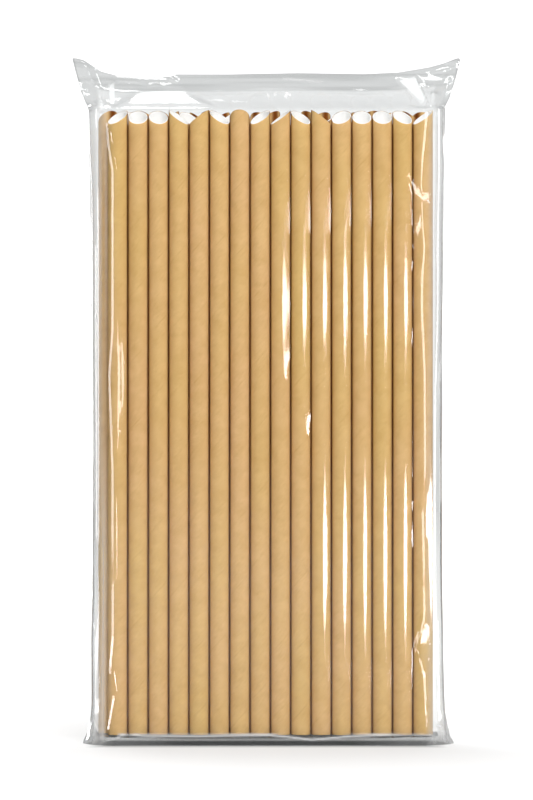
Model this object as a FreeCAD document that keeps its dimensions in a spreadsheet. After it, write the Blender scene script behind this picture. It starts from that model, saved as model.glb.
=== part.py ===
# A pack of bias-cut paper drinking straws in a clear film bag, standing on its folded end.
# Millimetres, +Z up, +X right, the front of the pack faces -Y.
# The origin is on the surface that the pack stands on, below the middle of the bag.

import FreeCAD
import Part
import Sketcher
import math
import os

# Driving dimensions: cell name, value in mm (or degrees, or a count), what it is
SIZES = (
    ("straw_dia", "6.35", "outside diameter of a straw"),
    ("straw_wall", "0.4", "paper wall of a straw, three plies"),
    ("straw_length", "197", "length of a straw to its highest point"),
    ("cut_angle", "36.5", "slope of the bias cut, from level, degrees"),
    ("straw_gap", "0.07", "clearance between neighbouring straws"),
    ("straws_in_row", "16", "straws side by side in one row"),
    ("film_thick", "0.05", "one layer of film"),
    ("film_gap", "0.25", "clearance from the straws to the front and back film"),
    ("side_gap", "1.65", "clearance from the straws to the side film"),
    ("bundle_shift", "0.42", "how far the straws lie left of the middle of the bag"),
    ("corner_radius", "4.6", "upright corners of the bag"),
    ("fold_height", "3.4", "height of the folded end that the straws stand on"),
    ("fold_tuck", "1.5", "how far the folded end draws in at the front and back"),
    ("foot_ear_reach", "3.6", "how far the lower ears stand out past the sides"),
    ("foot_ear_height", "14.5", "where the lower ears start"),
    ("head_gap", "0.3", "clearance above the straws"),
    ("roof_height", "6.3", "from the top of the straws to the foot of the seal"),
    ("seal_height", "4.7", "flat seal at the top, in the middle"),
    ("ear_rise", "5.3", "how far the upper ears rise above the seal"),
    ("ear_reach", "5.8", "how far the upper ears stand out past the sides"),
    ("ear_width", "21", "length of the seal that rises into each ear"),
    ("seam_width", "8", "folded-over lengthwise seam on the back"),
)

ROW_NAMES = ("front", "middle", "back")

# Which way the low side of each front straw's cut faces, degrees:
# 0 is forward, 90 is right, -90 is left and 180 is backward
FRONT_TURNS = (-42, 0, 8, 62, -98, 48, 178, -46, -72, 44, 96, -18, 2, 5, 26, -62)

# Straws behind the front row turn by this much from one to the next, degrees
TURN_STEP = 137.5

# Points along each part of a quarter of the bag's outline, and how they crowd towards the middle
ARC_STEPS = 4
FRONT_STEPS = 6
FRONT_SPREAD = 1.4

# Where the film has a ring of points: shares of the folded end's height,
# and shares of the way from there to the top of the lower ears
FOLD_RINGS = (0.18, 0.5)
FOOT_EAR_RINGS = (0.3, 0.65)

# Points nearer than this are one point, and faces flatter than this are flat
SAME_POINT = 1e-6


def add_sheet(doc):
    sheet = doc.addObject("Spreadsheet::Sheet", "sizes")
    for row, (alias, value, meaning) in enumerate(SIZES, start=1):
        sheet.set("A%d" % row, alias)
        sheet.set("B%d" % row, value)
        sheet.set("C%d" % row, meaning)
        sheet.setAlias("B%d" % row, alias)
    doc.recompute()
    return sheet


def origin_plane(body, role):
    for feature in body.Origin.OriginFeatures:
        if feature.Role == role:
            return feature
    raise ValueError("no origin plane " + role)


def add_sketch(body, name, role):
    sketch = body.newObject("Sketcher::SketchObject", name)
    sketch.AttachmentSupport = (origin_plane(body, role), [""])
    sketch.MapMode = "FlatFace"
    return sketch


def bind(sketch, kind, targets, formula):
    """Adds a dimension to the sketch and ties it to the sheet."""
    index = sketch.addConstraint(Sketcher.Constraint(kind, *targets, 1.0))
    sketch.setExpression("Constraints[%d]" % index, formula)


def add_wall_sketch(body, name, sheet):
    """Two rings about the straw's axis."""
    sketch = add_sketch(body, name, "XY_Plane")
    outer = sheet.straw_dia / 2
    rings = (
        (outer, "sizes.straw_dia / 2"),
        (outer - sheet.straw_wall, "sizes.straw_dia / 2 - sizes.straw_wall"),
    )
    for radius, formula in rings:
        ring = sketch.addGeometry(Part.Circle(FreeCAD.Vector(), FreeCAD.Vector(0, 0, 1), radius))
        sketch.addConstraint(Sketcher.Constraint("Coincident", ring, 3, -1, 1))
        bind(sketch, "Radius", (ring,), formula)
    return sketch


def add_bias_sketch(body, name, sheet):
    """What the bias cut takes off: everything above a slope through the highest point."""
    sketch = add_sketch(body, name, "XZ_Plane")
    dia = sheet.straw_dia
    slope = math.tan(math.radians(sheet.cut_angle))
    high = sheet.straw_length + dia / 2 * slope
    low = sheet.straw_length - 3 * dia / 2 * slope
    over = sheet.straw_length + 2 * dia
    corners = ((-dia, high), (dia, low), (dia, over), (-dia, over))
    for start, end in zip(corners, corners[1:] + corners[:1]):
        line = Part.LineSegment(FreeCAD.Vector(*start, 0), FreeCAD.Vector(*end, 0))
        sketch.addGeometry(line)
    for side in range(4):
        joint = Sketcher.Constraint("Coincident", side, 2, (side + 1) % 4, 1)
        sketch.addConstraint(joint)
    sketch.addConstraint(Sketcher.Constraint("Vertical", 1))
    sketch.addConstraint(Sketcher.Constraint("Horizontal", 2))
    sketch.addConstraint(Sketcher.Constraint("Vertical", 3))
    rise = "sizes.straw_dia / 2 * tan(sizes.cut_angle * 1 deg)"
    bind(sketch, "DistanceX", (0, 1, -1, 1), "sizes.straw_dia")
    bind(sketch, "DistanceX", (-1, 1, 0, 2), "sizes.straw_dia")
    bind(sketch, "DistanceY", (-1, 1, 0, 1), "sizes.straw_length + " + rise)
    bind(sketch, "DistanceY", (-1, 1, 0, 2), "sizes.straw_length - 3 * " + rise)
    bind(sketch, "DistanceY", (-1, 1, 2, 1), "sizes.straw_length + 2 * sizes.straw_dia")
    return sketch


def row_length(sheet):
    return round(sheet.straws_in_row)


def straw_turn(row, place):
    if row == 0:
        return FRONT_TURNS[place % len(FRONT_TURNS)]
    return TURN_STEP * (place + 1) + row * TURN_STEP / 2


def add_straw(doc, sheet, row, place):
    """One paper tube, square cut below and bias cut above."""
    label = "straw_%s_%02d" % (ROW_NAMES[row], place + 1)
    body = doc.addObject("PartDesign::Body", label)
    body.Label = label

    wall = body.newObject("PartDesign::Pad", label + "_wall")
    wall.Profile = add_wall_sketch(body, label + "_rings", sheet)
    wall.setExpression("Length", "sizes.straw_length + sizes.straw_dia")

    cut = body.newObject("PartDesign::Pocket", label + "_bias_cut")
    cut.Profile = add_bias_sketch(body, label + "_slope", sheet)
    cut.Type = "ThroughAll"
    cut.SideType = "Symmetric"
    body.Tip = cut

    pitch = "(sizes.straw_dia + sizes.straw_gap)"
    stagger = "-" if row % 2 else "+"
    across = "(%d - (round(sizes.straws_in_row) - 1) / 2) * %s" % (place, pitch)
    body.setExpression(
        "Placement.Base.x", "%s %s %s / 4 - sizes.bundle_shift" % (across, stagger, pitch)
    )
    rows_behind = row - (len(ROW_NAMES) - 1) / 2
    body.setExpression("Placement.Base.y", "%g * %s * sin(60 deg)" % (rows_behind, pitch))
    body.setExpression("Placement.Base.z", "sizes.fold_height")
    turn = FreeCAD.Rotation(FreeCAD.Vector(0, 0, 1), straw_turn(row, place) - 90)
    body.Placement = FreeCAD.Placement(body.Placement.Base, turn)
    return body


class BagSurface:
    """Rings of points around one face of the film: the outer one, or the inner one inset by the film."""

    def __init__(self, sheet, inset):
        pitch = sheet.straw_dia + sheet.straw_gap
        bundle_width = (row_length(sheet) - 1) * pitch + pitch / 2 + sheet.straw_dia
        bundle_depth = (len(ROW_NAMES) - 1) * pitch * math.sin(math.radians(60)) + sheet.straw_dia
        wall = sheet.film_thick - inset
        self.sheet = sheet
        self.inset = inset
        self.half_width = bundle_width / 2 + sheet.side_gap + wall
        self.half_depth = bundle_depth / 2 + sheet.film_gap + wall
        self.radius = sheet.corner_radius - inset
        self.straw_top = sheet.fold_height + sheet.straw_length
        self.plan = self.quarter_plan()

    def quarter_plan(self):
        """From the middle of the right side to the middle of the front: x, y and way round."""
        side = self.half_depth - self.radius
        front = self.half_width - self.radius
        points = [(self.half_width, 0.0), (self.half_width, -side)]
        for step in range(1, ARC_STEPS):
            turn = math.pi / 2 * step / ARC_STEPS
            points.append((front + self.radius * math.cos(turn), -side - self.radius * math.sin(turn)))
        for step in range(FRONT_STEPS + 1):
            share = (step / FRONT_STEPS) ** FRONT_SPREAD
            points.append((front * (1 - share), -self.half_depth))
        way = 0.0
        plan = [(points[0][0], points[0][1], way)]
        for before, point in zip(points, points[1:]):
            way += math.dist(before, point)
            plan.append((point[0], point[1], way))
        return plan

    def whole_ring(self, quarter):
        """Mirrors a quarter ring to the front left, and that half to the back."""
        front = quarter + [(-x, y, z) for x, y, z in reversed(quarter[:-1])]
        return front + [(x, -y, z) for x, y, z in reversed(front[1:-1])]

    def body_ring(self, height):
        return self.whole_ring([(x, y, height) for x, y, _ in self.plan])

    def foot_ring(self, height):
        """Ring near the folded end: the sides run out into ears and the end is drawn in."""
        sheet = self.sheet
        ear = max(0.0, 1 - height / sheet.foot_ear_height) ** 2
        tuck = max(0.0, 1 - height / sheet.fold_height) ** 2
        tip = self.half_width + sheet.foot_ear_reach
        reach = self.half_depth - sheet.fold_tuck
        corner_way = self.plan[ARC_STEPS + 1][2]
        quarter = []
        for x, y, way in self.plan:
            near = max(0.0, 1 - way / corner_way)
            ear_x = x + sheet.foot_ear_reach * ear * near ** 2
            flat_x = x + (tip - x) * near
            flat_y = -reach * (1 - near)
            quarter.append((ear_x + (flat_x - ear_x) * tuck, y + (flat_y - y) * tuck, height))
        return self.whole_ring(quarter)

    def head_ring(self, share):
        """Ring above the straws, from the shoulder, share 0, to the top edge, share 1."""
        sheet = self.sheet
        shoulder = self.straw_top + sheet.head_gap - self.inset
        tall = sheet.roof_height + sheet.seal_height - sheet.head_gap
        lean = max(0.0, 1 - share / self.seal_foot_share())
        tip = self.half_width + sheet.ear_reach
        all_round = self.plan[-1][2]
        quarter = []
        for x, y, way in self.plan:
            flat_x = tip * (1 - way / all_round)
            in_ear = max(0.0, (flat_x - (tip - sheet.ear_width)) / sheet.ear_width)
            top = tall + sheet.ear_rise * in_ear ** 2
            across = x + (flat_x - x) * share
            depth = (y + self.seal_half()) * lean - self.seal_half()
            if way == 0.0:
                depth = 0.0
            quarter.append((across, depth, shoulder + top * share))
        return self.whole_ring(quarter)

    def seal_half(self):
        """Half the thickness at the seal: one film outside, nothing inside."""
        return self.sheet.film_thick - self.inset

    def seal_foot_share(self):
        """How far up from the shoulder to the top edge the two films meet."""
        roof = self.sheet.roof_height - self.sheet.head_gap
        return roof / (roof + self.sheet.seal_height)


def flat_faces(corners):
    """One flat face for three or four corners, or two triangles where four aren't in a plane."""
    distinct = []
    for corner in corners:
        point = FreeCAD.Vector(*corner)
        if not any(point.isEqual(other, SAME_POINT) for other in distinct):
            distinct.append(point)
    if len(distinct) < 3:
        return []
    if len(distinct) == 4:
        normal = (distinct[1] - distinct[0]).cross(distinct[2] - distinct[0])
        if abs(normal.dot(distinct[3] - distinct[0])) > SAME_POINT * normal.Length:
            halves = (distinct[:3], [distinct[0], distinct[2], distinct[3]])
            return [Part.Face(Part.makePolygon(half + half[:1])) for half in halves]
    return [Part.Face(Part.makePolygon(distinct + distinct[:1]))]


def skin(rings):
    """A closed solid through the rings, with a flat face at the bottom and at the top."""
    faces = []
    for lower, upper in zip(rings, rings[1:]):
        count = len(lower)
        for index in range(count):
            after = (index + 1) % count
            faces += flat_faces((lower[index], lower[after], upper[after], upper[index]))
    for cap in (rings[0], rings[-1]):
        faces += cap_faces(cap)
    solid = Part.makeSolid(Part.makeShell(faces))
    if solid.Volume < 0:
        solid.reverse()
    return solid


def cap_faces(ring):
    """Closes a ring with strips from its front half to its back half."""
    half = len(ring) // 2
    faces = []
    for index in range(half):
        front = (ring[index], ring[index + 1])
        back = (ring[-index - 1], ring[-index % len(ring)])
        faces += flat_faces((front[0], front[1], back[0], back[1]))
    return faces


def outer_skin(sheet):
    surface = BagSurface(sheet, 0.0)
    fold = sheet.fold_height
    ear = sheet.foot_ear_height
    foot = surface.seal_foot_share()
    rings = [surface.foot_ring(fold * share) for share in (0.0, *FOLD_RINGS, 1.0)]
    rings += [surface.foot_ring(fold + (ear - fold) * share) for share in FOOT_EAR_RINGS]
    rings += [surface.body_ring(ear)]
    rings += [surface.head_ring(share) for share in (0.0, foot / 2, foot, (1 + foot) / 2, 1.0)]
    return skin(rings)


def straw_room(sheet):
    """The sealed space that holds the straws."""
    surface = BagSurface(sheet, sheet.film_thick)
    fold = sheet.fold_height
    ear = sheet.foot_ear_height
    foot = surface.seal_foot_share()
    rings = [surface.foot_ring(fold)]
    rings += [surface.foot_ring(fold + (ear - fold) * share) for share in FOOT_EAR_RINGS]
    rings += [surface.body_ring(ear)]
    rings += [surface.head_ring(share) for share in (0.0, foot / 2, foot)]
    return skin(rings)


def fold_room(sheet):
    """The flat space inside the folded end, under the film that the straws stand on."""
    surface = BagSurface(sheet, sheet.film_thick)
    film = sheet.film_thick
    fold = sheet.fold_height
    heights = [film] + [fold * share for share in FOLD_RINGS] + [fold - film]
    return skin([surface.foot_ring(height) for height in heights])


def back_seam(sheet):
    """The two edges of the film, sealed together and folded flat on the back."""
    surface = BagSurface(sheet, 0.0)
    low = sheet.fold_height
    tall = surface.straw_top - low
    corner = FreeCAD.Vector(0, surface.half_depth, low)
    return Part.makeBox(sheet.seam_width, 2 * sheet.film_thick, tall, corner)


def add_film_bag(doc, sheet):
    bag = doc.addObject("Part::Feature", "film_bag")
    bag.Label = "film_bag"
    rooms = [straw_room(sheet), fold_room(sheet)]
    bag.Shape = outer_skin(sheet).cut(rooms).fuse(back_seam(sheet))
    bag.Placement = FreeCAD.Placement()
    return bag


def check(doc, pieces):
    for item in doc.Objects:
        if "Invalid" in item.State or "Error" in item.State:
            raise RuntimeError("%s failed: %s" % (item.Label, item.State))
    for piece in pieces:
        shape = piece.Shape
        if shape.isNull() or not shape.isValid() or len(shape.Solids) != 1:
            raise RuntimeError("%s has no valid solid" % piece.Label)


def main():
    doc = FreeCAD.newDocument("straw_pack")
    sheet = add_sheet(doc)
    pieces = []
    for row in range(len(ROW_NAMES)):
        for place in range(row_length(sheet)):
            pieces.append(add_straw(doc, sheet, row, place))
    pieces.append(add_film_bag(doc, sheet))
    doc.recompute()
    check(doc, pieces)
    os.makedirs("parts", exist_ok=True)
    for piece in pieces:
        piece.Shape.exportStep("parts/%s.step" % piece.Label)
    print("%d pieces written" % len(pieces))


main()
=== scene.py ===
"""A pack of kraft paper drinking straws in a clear film bag.

The straws are bias cut at the top and stand on the bag's folded end. Every size is a real one,
in metres or in millimetres times MM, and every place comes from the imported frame.
"""

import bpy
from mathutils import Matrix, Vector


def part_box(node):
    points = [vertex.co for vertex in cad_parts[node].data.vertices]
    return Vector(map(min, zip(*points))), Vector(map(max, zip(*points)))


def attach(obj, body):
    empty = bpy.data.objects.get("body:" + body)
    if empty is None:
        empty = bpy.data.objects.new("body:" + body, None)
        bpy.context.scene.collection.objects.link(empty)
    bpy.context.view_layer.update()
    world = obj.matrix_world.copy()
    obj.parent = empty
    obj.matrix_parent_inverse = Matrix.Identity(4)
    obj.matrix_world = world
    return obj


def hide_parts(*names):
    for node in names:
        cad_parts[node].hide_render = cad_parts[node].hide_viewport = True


bl_info = {
    "name": "Paper Straw Pack",
    "version": (1, 0, 0),
    "blender": (4, 5, 0),
    "location": "View3D > Sidebar > Straw Pack",
    "description": "Builds kraft paper straws, their clear film bag and a plain stage",
    "category": "Add Mesh",
}

import math

import bpy
import numpy as np
from mathutils import Vector

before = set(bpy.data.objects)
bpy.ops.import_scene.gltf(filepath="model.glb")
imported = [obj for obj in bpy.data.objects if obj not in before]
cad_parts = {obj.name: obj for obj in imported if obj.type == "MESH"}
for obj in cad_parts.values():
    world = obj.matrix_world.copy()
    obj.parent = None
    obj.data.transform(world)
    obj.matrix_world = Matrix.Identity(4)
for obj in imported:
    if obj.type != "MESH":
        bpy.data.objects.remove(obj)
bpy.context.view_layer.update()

MM = 0.001
BODY = "root"
ROWS = ("front", "middle", "back")
STRAWS = {row: sorted(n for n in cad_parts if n.startswith("straw_" + row)) for row in ROWS}
BAG_LOW, BAG_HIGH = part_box("film_bag")
FIRST_LOW, FIRST_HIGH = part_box(STRAWS["front"][0])
PITCH = (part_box(STRAWS["front"][1])[0].x - FIRST_LOW.x) / MM
STRAW_TOP = FIRST_HIGH.z / MM


def linear(colour):
    """An sRGB hex colour as linear red, green and blue."""
    parts = [int(colour[i:i + 2], 16) / 255 for i in (1, 3, 5)]
    return tuple(p / 12.92 if p <= 0.04045 else ((p + 0.055) / 1.055) ** 2.4 for p in parts)


def length(name, description, millimetres):
    return bpy.props.FloatProperty(
        name=name, description=description, default=millimetres * MM, unit="LENGTH", precision=5
    )


def colour(name, description, shade):
    return bpy.props.FloatVectorProperty(
        name=name, description=description, default=linear(shade), subtype="COLOR", size=3, min=0, max=1
    )


class StrawSettings(bpy.types.PropertyGroup):
    """Sizes and colours of one paper straw."""

    diameter: length("Diameter", "Outside diameter of a straw", 6.35)
    wall: length("Wall", "Thickness of the three plies together", 0.4)
    cut_angle: bpy.props.FloatProperty(
        name="Cut angle", description="Slope of the bias cut", default=math.radians(36.5), subtype="ANGLE"
    )
    winding_rise: length("Winding rise", "How far the outer ply climbs in one turn", 21)
    kraft: colour("Kraft", "Outer ply, unbleached", "#DDB977")
    kraft_rosy: colour("Kraft, rosy", "Outer ply where the sheet is redder", "#E1B884")
    kraft_deep: colour("Kraft, deep", "Darker fibres of the outer ply", "#C69C5E")
    # Painted shade: the colour painted on the outer ply deep in the gap between two straws
    kraft_painted_gap_shade: colour("Kraft, nip", "Outer ply deep in the gap between two straws", "#6E3400")
    bleached: colour("Bleached", "Inner plies, white", "#FAF8F6")


class FilmSettings(bpy.types.PropertyGroup):
    """Sizes and colours of the film bag."""

    side_gap: length("Side gap", "From the straws to the side film", 1.7)
    corner_radius: length("Corner radius", "Upright corners of the bag", 4.6)
    fold_height: length("Fold height", "Height of the folded end", 3.4)
    fold_tuck: length("Fold tuck", "How far the folded end draws in", 1.5)
    foot_ear_height: length("Lower ear height", "Where the lower ears start", 14.5)
    foot_ear_reach: length("Lower ear reach", "How far the lower ears stand out", 3.6)
    head_gap: length("Head gap", "From the straws to the shoulder", 0.3)
    roof_height: length("Roof height", "From the shoulder to the foot of the seal", 6.0)
    seal_height: length("Seal height", "Flat seal at the top", 4.7)
    layer_gap: length("Layer gap", "Half the distance between the films in the seal", 0.05)
    seam_width: length("Seam width", "Lap seam up the back", 8)
    clear: colour("Clear film", "What one layer of film lets through", "#FDFEFE")
    dull: colour("Sealed film", "What one layer of sealed or gathered film lets through", "#E5E6E6")
    folded: colour("Folded film", "What several layers of folded film let through", "#727474")
    edge: colour("Film edge", "What the film lets through where it is seen edge on", "#8A8B8C")


def settings():
    return bpy.context.scene.straw_pack_straw, bpy.context.scene.straw_pack_film


def add_node(tree, kind, inputs=None, **options):
    """Adds a shader node. inputs maps a socket to a value, to the output that feeds it, or to
    the node whose first output feeds it."""
    node = tree.nodes.new("ShaderNode" + kind)
    for name, value in options.items():
        setattr(node, name, value)
    for name, value in (inputs or {}).items():
        if isinstance(value, bpy.types.Node):
            value = value.outputs[0]
        if isinstance(value, bpy.types.NodeSocket):
            tree.links.new(value, node.inputs[name])
        else:
            node.inputs[name].default_value = value
    return node


def new_material(name):
    material = bpy.data.materials.new(name)
    material.use_nodes = True
    material.node_tree.nodes.clear()
    return material, material.node_tree


def finish_material(tree, shader):
    add_node(tree, "OutputMaterial", {"Surface": shader})


def kraft_paper(straw):
    """Unbleached kraft paper, wound in a spiral: matt, with long fibres, soft cloudy
    patches where the sheet is thicker, and a fine seam where the ply's edges meet."""
    material, tree = new_material("kraft paper, spiral wound")
    round_mm = math.pi * straw.diameter / MM
    rise_mm = straw.winding_rise / MM
    winding = math.atan2(rise_mm, round_mm)
    place = add_node(tree, "UVMap", uv_map="unrolled_mm")

    # Fibres are 2 to 3 mm long and drawn 0.3 mm wide, coarser than real ones, so that they show
    along = add_node(tree, "Mapping", {"Vector": place, "Rotation": (0, 0, -winding)})
    stretched = add_node(tree, "Mapping", {"Vector": along, "Scale": (0.4, 3.2, 1)})
    fibres = add_node(tree, "TexNoise", {"Vector": stretched, "Scale": 1.0, "Detail": 3.0})
    # Clouds in the sheet are about 5 mm across, and its tone drifts over about 60 mm
    clouds = add_node(tree, "TexNoise", {"Vector": place, "Scale": 0.2, "Detail": 2.0})
    drift = add_node(tree, "TexNoise", {"Vector": place, "Scale": 0.016, "Detail": 1.0})
    rosy = add_node(tree, "MapRange", {"Value": drift, "From Min": 0.3, "From Max": 0.7})
    base = add_node(
        tree, "MixRGB", {"Fac": rosy, "Color1": (*straw.kraft, 1), "Color2": (*straw.kraft_rosy, 1)}
    )

    # The edge of the outer ply climbs round the straw as a fine line, 0.3 mm to each side
    split = add_node(tree, "SeparateXYZ", {"Vector": place})
    climb = add_node(
        tree, "Math", {0: split.outputs["X"], 1: -rise_mm / round_mm, 2: split.outputs["Y"]},
        operation="MULTIPLY_ADD",
    )
    seam = add_node(tree, "Math", {0: climb, 1: rise_mm / 2}, operation="PINGPONG")
    seam_line = add_node(
        tree, "MapRange", {"Value": seam, "From Min": 0.0, "From Max": 0.3, "To Min": 0.3, "To Max": 0.0}
    )
    mottle = add_node(tree, "Math", {0: fibres, 1: clouds}, operation="ADD")
    spread = add_node(
        tree, "MapRange",
        {"Value": mottle, "From Min": 0.76, "From Max": 1.3, "To Min": 0.0, "To Max": 0.55},
    )
    darker = add_node(tree, "Math", {0: seam_line, 1: spread}, operation="ADD")
    mottled = add_node(tree, "MixRGB", {"Fac": darker, "Color1": base, "Color2": (*straw.kraft_deep, 1)})
    # Painted shade: the paper is darkened where two straws touch, as light hardly reaches it there
    painted_gap_shade = add_node(tree, "Attribute", attribute_name="painted_gap_shade").outputs["Fac"]
    paint = add_node(tree, "MixRGB", {"Fac": painted_gap_shade, "Color1": mottled, "Color2": (*straw.kraft_painted_gap_shade, 1)})
    bump = add_node(tree, "Bump", {"Strength": 0.25, "Distance": 0.03 * MM, "Height": fibres})
    paper = add_node(
        tree, "BsdfPrincipled",
        {"Base Color": paint, "Roughness": 0.72, "IOR": 1.45, "Specular IOR Level": 0.08, "Normal": bump},
    )
    finish_material(tree, paper)
    return material


def bleached_paper(straw):
    """Bleached paper of the inner plies: matt white with a faint grain."""
    material, tree = new_material("bleached paper, inner ply")
    place = add_node(tree, "UVMap", uv_map="unrolled_mm")
    grain = add_node(tree, "TexNoise", {"Vector": place, "Scale": 1.5, "Detail": 3.0})
    dim = tuple(c * 0.93 for c in straw.bleached)
    shade = add_node(tree, "MixRGB", {"Fac": grain, "Color1": (*straw.bleached, 1), "Color2": (*dim, 1)})
    paper = add_node(
        tree, "BsdfPrincipled",
        {"Base Color": shade, "Roughness": 0.8, "IOR": 1.45, "Specular IOR Level": 0.2},
    )
    finish_material(tree, paper)
    return material


def clear_film(film):
    """Biaxially oriented polypropylene film, cast and stretched: clear and very glossy, with
    sharp reflections in every crease. Seals, gathers and folds let less through, and some of the film is
    darkened as painted shade."""
    material, tree = new_material("BOPP film, clear")
    # What the film lets through: less where it is sealed, gathered or folded, and where shade is painted
    gathered_and_painted_shade = add_node(tree, "Attribute", attribute_name="gathered_and_painted_shade").outputs["Fac"]
    through = add_node(tree, "ValToRGB", {"Fac": gathered_and_painted_shade})
    stops = through.color_ramp.elements
    stops[0].color = (*film.clear, 1)
    stops[1].color = (*film.folded, 1)
    stops.new(0.5).color = (*film.dull, 1)
    facing = add_node(tree, "LayerWeight", {"Blend": 0.5}).outputs["Facing"]
    steep = add_node(tree, "Math", {0: facing, 1: 4.0}, operation="POWER")
    seen = add_node(tree, "MixRGB", {"Fac": steep, "Color1": through, "Color2": (*film.edge, 1)})
    clear = add_node(tree, "BsdfTransparent", {"Color": seen})
    # Fine wrinkles scatter some light, so the film looks milky there; the same milky white is also used as
    # painted highlights and a painted reflection
    milky = add_node(tree, "BsdfDiffuse", {"Color": (0.9, 0.9, 0.9, 1)})
    haze_and_painted_sheen = add_node(tree, "Attribute", attribute_name="haze_and_painted_sheen").outputs["Fac"]
    body = add_node(tree, "MixShader", {0: haze_and_painted_sheen, 1: clear, 2: milky})
    gloss = add_node(tree, "BsdfGlossy", {"Color": (1, 1, 1, 1), "Roughness": 0.07})
    # Film reflects alike from both sides: 5% head on, rising with the fifth power towards its edge,
    # where its waviness takes the peak off
    rise = add_node(tree, "Math", {0: facing, 1: 5.0}, operation="POWER")
    mirror = add_node(tree, "Math", {0: rise, 1: 1.25, 2: 0.052}, operation="MULTIPLY_ADD")
    capped = add_node(tree, "Math", {0: mirror, 1: 0.4}, operation="MINIMUM")
    finish_material(tree, add_node(tree, "MixShader", {0: capped, 1: body, 2: gloss}))
    return material


def shared_material(name, make, group):
    return bpy.data.materials.get(name) or make(group)


def add_piece(name, mesh, materials, node):
    piece = bpy.data.objects.new(name, mesh)
    bpy.context.scene.collection.objects.link(piece)
    for material in materials:
        mesh.materials.append(material)
    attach(piece, BODY)
    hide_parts(node)


def smooth_mesh(name, points, faces, crease):
    """A smooth mesh with sharp edges where it bends by more than the crease, in degrees."""
    mesh = bpy.data.meshes.new(name)
    mesh.from_pydata(points.tolist(), [], faces)
    mesh.polygons.foreach_set("use_smooth", [True] * len(faces))
    mesh.set_sharp_from_angle(angle=math.radians(crease))
    return mesh


def set_attribute(mesh, name, values):
    layer = mesh.attributes.new(name, "FLOAT", "POINT")
    layer.data.foreach_set("value", np.asarray(values, np.float32).ravel())


def centre_of(node):
    low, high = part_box(node)
    return (low.x + high.x) / 2, (low.y + high.y) / 2


STRAW_CENTRES = np.array([centre_of(node) for row in ROWS for node in STRAWS[row]])


def cut_direction(node):
    """Which way the low side of a straw's cut faces: read from the slope of its upper end."""
    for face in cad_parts[node].data.polygons:
        if 0.5 < face.normal.z < 0.95:
            return math.atan2(face.normal.y, face.normal.x)
    raise ValueError("no bias cut on " + node)


# The width of a gap between straws at which its painted shade has faded
NIP_FADE = 0.55 * MM


def nip_at(centre, radius, angles, fade):
    """How close the next straws come at each angle: 1 where they touch, 0 in the open. It masks the
    painted shade between straws.
    """
    surface = np.array(centre) + radius * np.stack([np.cos(angles), np.sin(angles)], axis=-1)
    others = STRAW_CENTRES[np.hypot(*(STRAW_CENTRES - centre).T) > radius]
    gaps = np.linalg.norm(surface[:, None] - others[None], axis=-1).min(axis=1) - radius
    return np.exp(-(gaps.clip(0) / fade) ** 2)


def straw_mesh(name, straw, centre, base, tall, low_side, random):
    """One paper tube, from the square end at the base up to the bias cut."""
    around = 72
    radius = straw.diameter / 2
    bore = radius - straw.wall
    outer_ply = radius - straw.wall * 0.45
    slope = math.tan(straw.cut_angle)
    rounding = 0.08 * MM
    squeeze = random.uniform(0.002, 0.010)
    squeeze_way = random.uniform(0, math.pi)
    shift = random.uniform(0, 900, 2)
    angles = 2 * math.pi * np.arange(around) / around

    def cut_height(r):
        return tall - slope * (radius + r * np.cos(angles - low_side))

    levels = [0.2 * MM, 4 * MM]
    levels += [tall * step / 12 for step in range(1, 11)]
    levels += [tall - straw.diameter * 2.2, tall - straw.diameter * 1.2]
    rings = [(radius - rounding, np.zeros(around))]
    rings += [(radius, np.full(around, z)) for z in levels]
    rings += [(radius, cut_height(radius) - rounding), (radius - rounding / 2, cut_height(radius))]
    rings += [(outer_ply, cut_height(outer_ply) + rounding / 4)]
    last_kraft = len(rings) - 1
    rings += [(bore + rounding / 2, cut_height(bore)), (bore, cut_height(bore) - rounding)]
    rings += [(bore, np.full(around, z)) for z in reversed([0.0] + levels)]

    r = np.array([[ring[0]] * around for ring in rings])
    z = np.array([ring[1] for ring in rings])
    near_top = ramp(1 - (tall - z) / (4 * straw.diameter))
    near_foot = ramp(1 - z / (2 * straw.diameter))
    pressed = squeeze * (near_top + 0.6 * near_foot) * (0.5 + 0.5 * np.cos(2 * (angles - squeeze_way)))
    across = r * (1 - pressed)
    x = centre[0] + across * np.cos(angles)
    y = centre[1] + across * np.sin(angles)
    verts = np.stack([x, y, z + base], axis=-1).reshape(-1, 3)

    count = len(rings)
    index = np.arange(count * around).reshape(count, around)
    above = np.roll(index, -1, axis=0)
    faces = np.stack([index, np.roll(index, -1, 1), np.roll(above, -1, 1), above], axis=-1).reshape(-1, 4)
    arc = np.arange(around + 1) / around * 2 * math.pi * radius / MM + shift[0]
    high = np.concatenate([z, z[:, :1]], axis=1) / MM + shift[1]
    high_above = np.roll(high, -1, axis=0)
    wide = np.broadcast_to(arc, high.shape)
    corners = [(wide[:, :-1], high[:, :-1]), (wide[:, 1:], high[:, 1:])]
    corners += [(wide[:, 1:], high_above[:, 1:]), (wide[:, :-1], high_above[:, :-1])]
    uvs = np.stack([np.stack(corner, axis=-1) for corner in corners], axis=2)

    mesh = smooth_mesh(name, verts, faces.tolist(), 40)
    slots = np.repeat(np.arange(count) >= last_kraft, around).astype(int)
    mesh.polygons.foreach_set("material_index", slots)
    layer = mesh.uv_layers.new(name="unrolled_mm")
    layer.data.foreach_set("uv", uvs.ravel())
    # Painted shade between straws, from how close the next straws come
    set_attribute(mesh, "painted_gap_shade", np.tile(nip_at(centre, radius, angles, NIP_FADE), count))
    return mesh


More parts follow.
